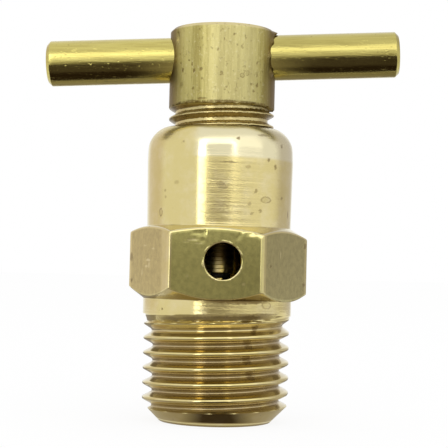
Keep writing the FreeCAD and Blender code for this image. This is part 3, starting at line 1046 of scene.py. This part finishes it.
def turned_brass():
    """Body finish: turning rings on the round parts, dull flats with worn corners, brown stains, painted
    light and shade.
    """
    material, shader, place = new_finish("turned_brass")
    zone = body_zones(place)
    scratches = marks_share(zone.skin, BARREL_R, BODY_SCRATCHES)
    rim = drain_rim(place, zone.flecks)
    # The drain rim's pale ring is a painted highlight; the scratches are real.
    colour = blend(largest(scratches, 0.6 * rim), body_colour(zone), PALE_AND_PAINTED_HIGHLIGHT)
    # Tarnish, with painted shade from one row of the spots.
    stain_and_shade = body_stain_and_shade(zone)
    colour = blend(stain_and_shade, colour, TARNISH_AND_SHADE)

    chamfer = ramp(zone.z, 1.7, 1.4) * ramp(zone.away, 4.6, 5.0)
    shoulder = ramp(zone.z, 24.3, 25.0)
    chatter = ramp(zone.azimuth, -14.0, -8.0) * ramp(zone.azimuth, 75.0, 35.0)
    roughness = (BODY_ROUGHNESS + 0.07 * zone.dull + 0.25 * stain_and_shade + 0.2 * chamfer + 0.15 * shoulder
                 + 0.08 * chatter * zone.on_barrel + 0.15 * zone.root)
    lathe = noise(zone.skin, LATHE_GRAIN, 5.0) * (1.4 * chatter + 0.2)
    lathe = lathe * (0.75 * largest(zone.on_barrel, zone.on_neck) + 0.25)
    lathe = lathe * (1 - largest(zone.on_flat, 0.7 * zone.in_pipe))
    grain = 0.14 * zone.dull * (zone.flecks - scratches + 6.0 * rim)
    finish_with(shader, colour, roughness, lathe + grain, BODY_BUMP_MM)
    return material


# %% [markdown]
# ## The stem's finish
# The head is the rod as it was drawn: fine upright streaks, small pits and a dull yellow, with painted
# light over its front. Round the mouths of the cross hole it is brown, partly tarnish and partly painted
# shade, and its sides that face along the bar carry painted shade. The screw thread and the pintle below it
# were cut, so they are brighter and have rings; the pintle's brightness is also painted light, and painted
# shade lies under the thread's flanks and over the pintle's upper part. Height alone tells these zones
# apart, and the streaks are noise stretched along the axis.

# %% Colour of the stem
HEAD = rgb(0.60, 0.53, 0.20)
HEAD_DARK = rgb(0.42, 0.355, 0.115)
# The pale head colour serves both pale flecks and the painted light over the head's front.
HEAD_PALE_AND_PAINTED_LIGHT = rgb(0.68, 0.62, 0.34)
CUT_BRASS = rgb(0.60, 0.50, 0.23)
# The pintle's bright colour is painted light inside the hole.
PINTLE_PAINTED_LIGHT = rgb(0.90, 0.78, 0.42)


def stem_zones(place):
    """Shares that tell head, screw and pintle apart, with the places and noises that several steps use."""
    zone = SimpleNamespace(place=place, up=facing_up(place.tree))
    zone.azimuth, zone.z, _, zone.skin = unrolled(place, head_r)
    zone.on_head = ramp(zone.z, 28.1, 28.25)
    zone.on_screw = ramp(zone.z, 28.2, 28.1) * ramp(zone.z, 19.6, 20.2)
    zone.on_pintle = ramp(zone.z, 19.6, 19.3)
    zone.streak = noise(place, (4.0, 4.0, 0.25), 4.0)
    zone.flecks = noise(place, (4.5, 4.5, 3.5), 4.0)
    zone.pits = 0.5 * ramp(noise(place, (2.6, 2.6, 1.8), 3.0), 0.58, 0.72) * zone.on_head
    return zone


def stem_colour(zone):
    """Colour of the stem: streaked head with pale flecks and painted light over its front, faced top, cut
    screw, a pintle painted bright as painted light.
    """
    bands = noise(zone.place, (0.9, 0.9, 0.04), 2.0)
    colour = blend(ramp(0.5 * zone.streak + 0.5 * bands, 0.36, 0.6), HEAD_DARK, HEAD)
    colour = blend(0.55 * ramp(zone.flecks, 0.56, 0.68), colour, HEAD_PALE_AND_PAINTED_LIGHT)
    # Painted light over the front of the head.
    painted_light_front = 0.3 * ramp(zone.azimuth, -22.0, -6.0) * ramp(zone.azimuth, 50.0, 30.0)
    colour = blend(painted_light_front, colour, HEAD_PALE_AND_PAINTED_LIGHT)
    colour = blend(zone.on_head, CUT_BRASS, colour)
    # Painted light: the pintle in a bright colour.
    colour = blend(zone.on_pintle, colour, PINTLE_PAINTED_LIGHT)
    return blend(0.8 * ramp(zone.up, 0.3, 0.6) * zone.on_head, colour, PALE_AND_PAINTED_HIGHLIGHT)


# %% Marks on the stem
# azimuth in degrees, then height, half width and half height in mm, and strength
HEAD_SPOTS = [
    (-45.6, 31.2, 0.15, 0.26, 0.68), (-30.0, 31.07, 0.16, 0.22, 0.62), (-21.8, 31.16, 0.18, 0.18, 0.58),
    (-36.6, 32.0, 0.11, 0.14, 0.55), (-49.0, 31.85, 0.12, 0.14, 0.6), (-30.8, 29.5, 0.11, 0.14, 0.55),
    (41.7, 29.93, 0.14, 0.25, 0.6), (33.6, 29.96, 0.13, 0.16, 0.45), (37.0, 29.37, 0.14, 0.14, 0.5),
    (6.1, 29.58, 0.13, 0.13, 0.4), (16.5, 33.31, 0.10, 0.13, 0.4), (22.6, 33.12, 0.12, 0.12, 0.35),
    (-47.6, 29.9, 0.2, 0.25, 0.4), (-20.1, 28.58, 0.5, 0.14, 0.6), (-33.1, 28.38, 0.6, 0.14, 0.6),
    (8.0, 28.33, 1.1, 0.12, 0.75), (33.0, 28.3, 0.8, 0.12, 0.6), (-54.8, 34.13, 0.13, 0.55, 0.8),
]
HEAD_RINGS = [
    (22.8, 30.68, 0.22, 0.22, 0.6), (29.0, 30.93, 0.16, 0.24, 0.55), (-47.6, 29.9, 0.22, 0.3, 0.4),
]


def tarnish_and_shade_round_bar(zone):
    """Tarnish and painted shade round the mouths of the cross hole, and painted shade over the sides of the
    head that face along the bar.
    """
    x, y, z = split(zone.place)
    above_bar = z - math.tan(BAR_TILT) * x - bar_z
    off_bar = length(level(y, above_bar)) + 1.4 * zone.flecks - 0.7
    sideways = abs(abs(zone.azimuth) - 90.0)
    # Round the mouths, tarnish and painted shade in the gap; over the sides, painted shade.
    return largest(0.85 * ramp(off_bar, bar_r + 0.75, bar_r + 0.25),
                   0.88 * ramp(sideways, 48.0, 20.0) * zone.on_head)


def stem_stain_and_shade(zone, spots):
    """Tarnish and painted shade of the stem: marks, pits, brown mouths and sides partly painted shade,
    painted shade under the thread's flanks, dark lower edge, painted shade over the pintle's upper part.
    """
    rings = marks_share(zone.skin, head_r, HEAD_RINGS, ring=True)
    # Painted shade under the downward-facing flanks of the screw thread.
    painted_shade_under_flanks = 0.8 * ramp(zone.up, -0.15, -0.5) * zone.on_screw
    under_edge = 0.75 * ramp(zone.z, 28.5, 28.38) * zone.on_head * ramp(zone.flecks, 0.36, 0.52)
    # Painted shade over the pintle's upper part inside the hole.
    painted_shade_on_pintle = 0.9 * zone.on_pintle * ramp(zone.z, 13.9, 14.9)
    return largest(spots, rings, zone.pits, tarnish_and_shade_round_bar(zone), painted_shade_under_flanks, painted_shade_on_pintle, under_edge)


print("marks on the head:", len(HEAD_SPOTS) + len(HEAD_RINGS))

# %% Stem brass
STEM_ROUGHNESS = 0.24
STEM_BUMP_MM = 0.02
PINTLE_FEED = 0.36
PINTLE_RINGS = 2.6


def head_brass():
    """Stem finish: upright streaks, flecks and pits on the head, cut brass with rings below it, tarnish
    with painted light and shade.
    """
    material, shader, place = new_finish("head_brass")
    zone = stem_zones(place)
    spots = marks_share(zone.skin, head_r, HEAD_SPOTS)
    colour = blend(stem_stain_and_shade(zone, spots), stem_colour(zone), TARNISH_AND_SHADE)
    roughness = STEM_ROUGHNESS + 0.19 * zone.on_head + 0.12 * zone.on_pintle + 0.08 * zone.streak
    lathe = noise(place, (0.1, 0.1, 2.6), 3.0) * (1 - zone.on_head)
    feed = step("FRACT", zone.z * (1 / PINTLE_FEED))
    feed = PINTLE_RINGS * ramp(feed, 0.0, 0.2) * (1 - feed) * zone.on_pintle
    worn = (zone.streak + 0.8 * zone.flecks) * zone.on_head
    height = worn + lathe + feed - 1.2 * largest(spots, zone.pits)
    finish_with(shader, colour, roughness, height, STEM_BUMP_MM)
    return material


# %% [markdown]
# ## The bar's finish
# The bar is brighter than the head, with long streaks along it and small dents from handling that
# sparkle where the reflection turns from light to dark. Both come from noise: stretched along the bar
# for the streaks, and only its highest grains for the dents.

# %% Bar brass
BAR = rgb(0.63, 0.545, 0.17)
BAR_DARK = rgb(0.52, 0.44, 0.13)
BAR_ROUGHNESS = 0.12
BAR_BUMP_MM = 0.018


def bar_brass():
    """Bar finish: streaks along the bar, a few brown specks, small dents, dimmer towards +X."""
    material, shader, place = new_finish("bar_brass")
    along = split(place)[0]
    streak = noise(place, (0.22, 3.0, 3.0), 4.0)
    colour = blend(ramp(streak, 0.3, 0.65), BAR_DARK, BAR)
    colour = dim(colour, 1 - 0.14 * ramp(along, 0.0, 6.0))
    specks = 0.6 * ramp(noise(place, (2.2, 3.0, 3.0), 2.0), 0.68, 0.78)
    colour = blend(specks, colour, TARNISH_AND_SHADE)
    dents = ramp(noise(place, (2.0, 4.0, 4.0), 2.0), 0.6, 0.79)
    height = streak - dents * (0.8 + 0.35 * ramp(along, 0.0, -4.0))
    finish_with(shader, colour, BAR_ROUGHNESS + 0.14 * streak, height, BAR_BUMP_MM)
    return material


# %% [markdown]
# ## The disc's finish
# Only a sliver of the disc can be seen through the drain hole: black rubber with a faint grey bloom,
# so a noise between two near blacks is enough.

# %% Rubber of the disc
RUBBER = rgb(0.012, 0.011, 0.01)
RUBBER_BLOOM = rgb(0.03, 0.028, 0.026)
RUBBER_ROUGHNESS = 0.5
RUBBER_BUMP_MM = 0.01


def seat_rubber():
    """Black moulded rubber with a faint bloom."""
    material, shader, place = new_finish("seat_rubber")
    shader.inputs["Metallic"].default_value = 0.0
    bloom = noise(place, (3, 3, 3))
    colour = blend(bloom, RUBBER, RUBBER_BLOOM)
    finish_with(shader, colour, RUBBER_ROUGHNESS + 0.2 * bloom, bloom, RUBBER_BUMP_MM)
    return material


# %% [markdown]
# ## Dressing the pieces
# Each piece gets its finish and is tied to the body of the mechanism that it rides on, and the solid
# that it stands for is hidden. The bar rides on the stem, because it is pressed into it.


# %% Dress the pieces
def dress(piece, material, body, node):
    """Give a piece its finish and its body, and hide the solid that it stands for."""
    piece.data.materials.clear()
    piece.data.materials.append(material)
    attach(piece, body)
    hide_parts(node)
    print(piece.name, "rides on", body, "with a finish of", len(material.node_tree.nodes), "nodes")


dress(valve_body, turned_brass(), "valve_body", "valve_body")
dress(valve_stem, head_brass(), "stem", "valve_stem")
dress(tee_bar, bar_brass(), "stem", "tee_bar")
dress(seat_disc, seat_rubber(), "seat_disc", "seat_disc")

# %% [markdown]
# ## Floor and surround
# Polished metal shows the room, so the room is part of its look. A white floor and a white surround
# keep the picture plain. The floor glows for the eye and in reflections, and a small share of it is
# shaded as paint is, so that the piece still casts a soft shadow.

# %% Floor and surround
WHITE = rgb(1, 1, 1)
FLOOR_PAINT = rgb(0.92, 0.92, 0.92)
FLOOR_GLOW = 0.88
FLOOR_REACH = 4.0


def empty_material(name):
    """Material with an empty node tree."""
    material = bpy.data.materials.new(name)
    material.use_nodes = True
    material.node_tree.nodes.clear()
    return material, material.node_tree


def seen_rays(tree):
    """1 for rays from the camera, reflections and glass, and 0 for rays that only light things."""
    path = add(tree, "LightPath")
    return largest(*(Field(path, f"Is {kind} Ray") for kind in ("Camera", "Glossy", "Transmission")))


def make_floor():
    """Pale floor under the pipe end: mostly white of its own, the rest shaded so that it keeps a shadow."""
    mesh = bpy.data.meshes.new("floor")
    corners = [(x * FLOOR_REACH, y * FLOOR_REACH, 0) for x, y in ((-1, -1), (1, -1), (1, 1), (-1, 1))]
    mesh.from_pydata(corners, [], [(0, 1, 2, 3)])
    material, tree = empty_material("floor")
    paint = Field(add(tree, "BsdfDiffuse", {0: FLOOR_PAINT}))
    white = Field(add(tree, "Emission", {0: WHITE, 1: 1.0}))
    both = Field(add(tree, "MixShader", {0: seen_rays(tree) * FLOOR_GLOW, 1: paint, 2: white}))
    add(tree, "OutputMaterial", {0: both})
    mesh.materials.append(material)
    floor = put_in_scene("floor", mesh)


make_floor()
world = bpy.data.worlds.new("studio")
world.use_nodes = True
world.node_tree.nodes["Background"].inputs[0].default_value = WHITE
bpy.context.scene.world = world
print("floor of", 2 * FLOOR_REACH, "m in a white room")

# %% [markdown]
# ## Cards
# In a white room alone, brass would look like pale paper. Cards that are darker than the room give
# the metal its darks, as boards do in a studio: some in front of it, some on the table, under the bar
# and behind. Only reflections can see them, and each fades out towards its rim and has no back.


# %% Card helpers
def glow(name, colour):
    """Material for a card: a glow in front that fades out towards its rim, and nothing at all behind."""
    material, tree = empty_material(name)
    shine = Field(add(tree, "Emission", {0: colour, 1: 1.0}))
    clear = Field(add(tree, "BsdfTransparent"))
    cover = Field(add(tree, "Attribute", attribute_name="cover"), "Fac")
    behind = Field(add(tree, "NewGeometry"), "Backfacing")
    both = Field(add(tree, "MixShader", {0: cover * (1 - behind), 1: clear, 2: shine}))
    add(tree, "OutputMaterial", {0: both})
    return material


def card(name, corners_mm, colour, rim):
    """Flat card through four corners, counted anticlockwise in front, seen only in reflections.

    A point is a blend of the corners a, b, c, d: (1 - u)(1 - v) a + u (1 - v) b + u v c + (1 - u) v d. The
    cover is 1 inside and falls to 0 over a rim, which is a share of the card.
    """
    steps = np.array([0.0, rim, 1 - rim, 1.0])
    u, v = np.meshgrid(steps, steps)
    weights = np.stack([(1 - u) * (1 - v), u * (1 - v), u * v, (1 - u) * v], -1)
    points = (weights @ np.array(corners_mm, float)).reshape(-1, 3) * MM
    inside = (np.abs(u - 0.5) < 0.5) & (np.abs(v - 0.5) < 0.5)
    first = np.array([0, 1, 2, 4, 5, 6, 8, 9, 10])
    faces = first[:, None] + np.array([0, 1, 5, 4])
    mesh = bpy.data.meshes.new(name)
    mesh.from_pydata(points.tolist(), [], faces.tolist())
    cover = mesh.attributes.new("cover", "FLOAT", "POINT")
    cover.data.foreach_set("value", inside.ravel().astype(np.float32))
    mesh.materials.append(glow(name, colour))
    made = put_in_scene(name, mesh)
    made.visible_camera = False
    made.visible_diffuse = False
    made.visible_shadow = False
    made.visible_transmission = False


# %% Cards
MIDDLE_Z = 17
FRONT_RIM = 0.05
LEVEL_RIM = 0.1
END_RIM = 0.3
UPRIGHT_RIM = 0.25
TABLE_UP = 0.3
UNDER_BAR_UP = 27.0


def front_card(name, x0, x1, low, high, away, colour):
    """Card near the camera that faces the object, from x0 to x1 and from low to high, in mm."""
    corners = [(x1, -away, low), (x0, -away, low), (x0, -away, high), (x1, -away, high)]
    card(name, corners, colour, FRONT_RIM)


def level_card(name, x_range, y_range, up, colour, rim=LEVEL_RIM):
    """Card that lies level at a height, over a range of x and of y, in mm, and is seen from above."""
    (x0, x1), (y0, y1) = sorted(x_range), sorted(y_range)
    card(name, [(x0, y0, up), (x1, y0, up), (x1, y1, up), (x0, y1, up)], colour, rim)


def upright_card(name, azimuth, wide, low, high, distance, colour):
    """Card that stands round the object: azimuth and width in degrees, elevations low to high."""
    corners = []
    for side, elevation in ((1, low), (-1, low), (-1, high), (1, high)):
        a = math.radians(azimuth + side * wide / 2)
        up = MIDDLE_Z + distance * math.tan(math.radians(elevation))
        corners.append((distance * math.sin(a), -distance * math.cos(a), up))
    card(name, corners, colour, UPRIGHT_RIM)


front_card("card_low", -43, 39, 0.5, 14, 119, rgb(0.46, 0.44, 0.40))
front_card("card_high", -14, 14, 16, 32, 119, rgb(0.82, 0.80, 0.76))
front_card("card_high_left", -43, -12, 16, 40, 119, rgb(0.80, 0.78, 0.74))
front_card("card_high_right", 12, 39, 16, 40, 119, rgb(0.88, 0.86, 0.82))
front_card("card_low_right", 34, 125, 1, 9.5, 120, rgb(0.42, 0.40, 0.36))
front_card("card_middle", -43, 39, 8, 21, 117, rgb(0.35, 0.33, 0.29))
level_card("card_table_front", (-60, 60), (-118, 8), TABLE_UP, rgb(0.38, 0.34, 0.30))
level_card("card_table_back", (-60, 60), (-4, 110), TABLE_UP, rgb(0.34, 0.31, 0.28))
level_card("card_pipe_end", (-3.0, 3.8), (-12, -1), TABLE_UP + 0.1, rgb(0.05, 0.035, 0.025), END_RIM)
for side, near in ((-1, -32), (1, -38)):
    bar_side = (side * 4, side * 50)
    level_card("card_before_bar", bar_side, (near, 0.2), UNDER_BAR_UP, rgb(0.075, 0.06, 0.055))
    level_card("card_under_bar", bar_side, (-4.4, 0.0), UNDER_BAR_UP + 0.05, rgb(0.028, 0.018, 0.014))
upright_card("card_left_back", -124, 60, -40, 50, 300, rgb(0.84, 0.78, 0.75))
upright_card("card_right_back", 132, 70, -40, 50, 300, rgb(0.64, 0.61, 0.61))

# %% [markdown]
# ## Lamps
# A tall narrow lamp stands on each side of the camera and draws an upright streak on everything round:
# the left one is the stronger. A wide lamp above lights the shoulder and the bar, and a faint one high
# on the right fills in. Lamps have a size here because the streaks are their mirror images.


# %% Lamps
def soft_light(name, azimuth, elevation, wide, high, distance, radiance):
    """Area lamp aimed at the object; wide and high in mm. Its power is radiance * pi * area."""
    lamp = bpy.data.lights.new(name, "AREA")
    lamp.shape = "RECTANGLE"
    lamp.size = wide * MM
    lamp.size_y = high * MM
    lamp.energy = radiance * math.pi * lamp.size * lamp.size_y
    made = put_in_scene(name, lamp)
    a, e = math.radians(azimuth), math.radians(elevation)
    away = Vector((math.sin(a) * math.cos(e), -math.cos(a) * math.cos(e), math.sin(e)))
    made.location = (away * distance + Vector((0, 0, MIDDLE_Z))) * MM
    made.rotation_euler = away.to_track_quat("Z", "Y").to_euler()
    print(name, "of", round(1000 * lamp.energy, 1), "mW")


soft_light("light_left", -27.5, 8, 39, 246, 220, 2.3)
soft_light("light_right", 23.5, 4, 31, 280, 300, 1.15)
soft_light("light_top", -0.5, 33, 310, 190, 430, 0.95)
soft_light("light_right_top", 46, 33, 390, 340, 430, 0.36)

# %% [markdown]
# ## Camera
# The picture was taken from close by at about the height of the drain hole, so the perspective is
# strong enough to see the top rim from below and the pipe end from above. The camera was held a little
# askew, so it is placed by a matrix of its own three directions, rolled about the line of sight.

# %% Camera
CAMERA_AWAY = 114.7
CAMERA_UP = 13.3
CAMERA_AZIMUTH = math.radians(1.4)
CAMERA_ROLL = math.radians(1.36)
AIM = Vector((0.46, 0, 17.77))
FOCAL_PX = 1264
FRAME_PX = 448
SENSOR_MM = 36.0
NEAREST_M = 0.005

lens = bpy.data.cameras.new("camera")
lens.sensor_width = SENSOR_MM
lens.lens = FOCAL_PX / FRAME_PX * lens.sensor_width
lens.clip_start = NEAREST_M
camera = put_in_scene("camera", lens)
eye_x = AIM.x + CAMERA_AWAY * math.sin(CAMERA_AZIMUTH)
eye = Vector((eye_x, -CAMERA_AWAY * math.cos(CAMERA_AZIMUTH), CAMERA_UP))
backward = (eye - AIM).normalized()
right = Vector((0, 0, 1)).cross(backward).normalized()
up = backward.cross(right)
rolled_right = right * math.cos(CAMERA_ROLL) + up * math.sin(CAMERA_ROLL)
rolled_up = up * math.cos(CAMERA_ROLL) - right * math.sin(CAMERA_ROLL)
turned = Matrix((rolled_right, rolled_up, backward)).transposed().to_4x4()
camera.matrix_world = Matrix.Translation(eye * MM) @ turned
bpy.context.scene.camera = camera
bpy.context.scene.view_settings.view_transform = "Standard"
print("camera at", [round(v, 2) for v in eye], "mm, lens", round(lens.lens, 1))
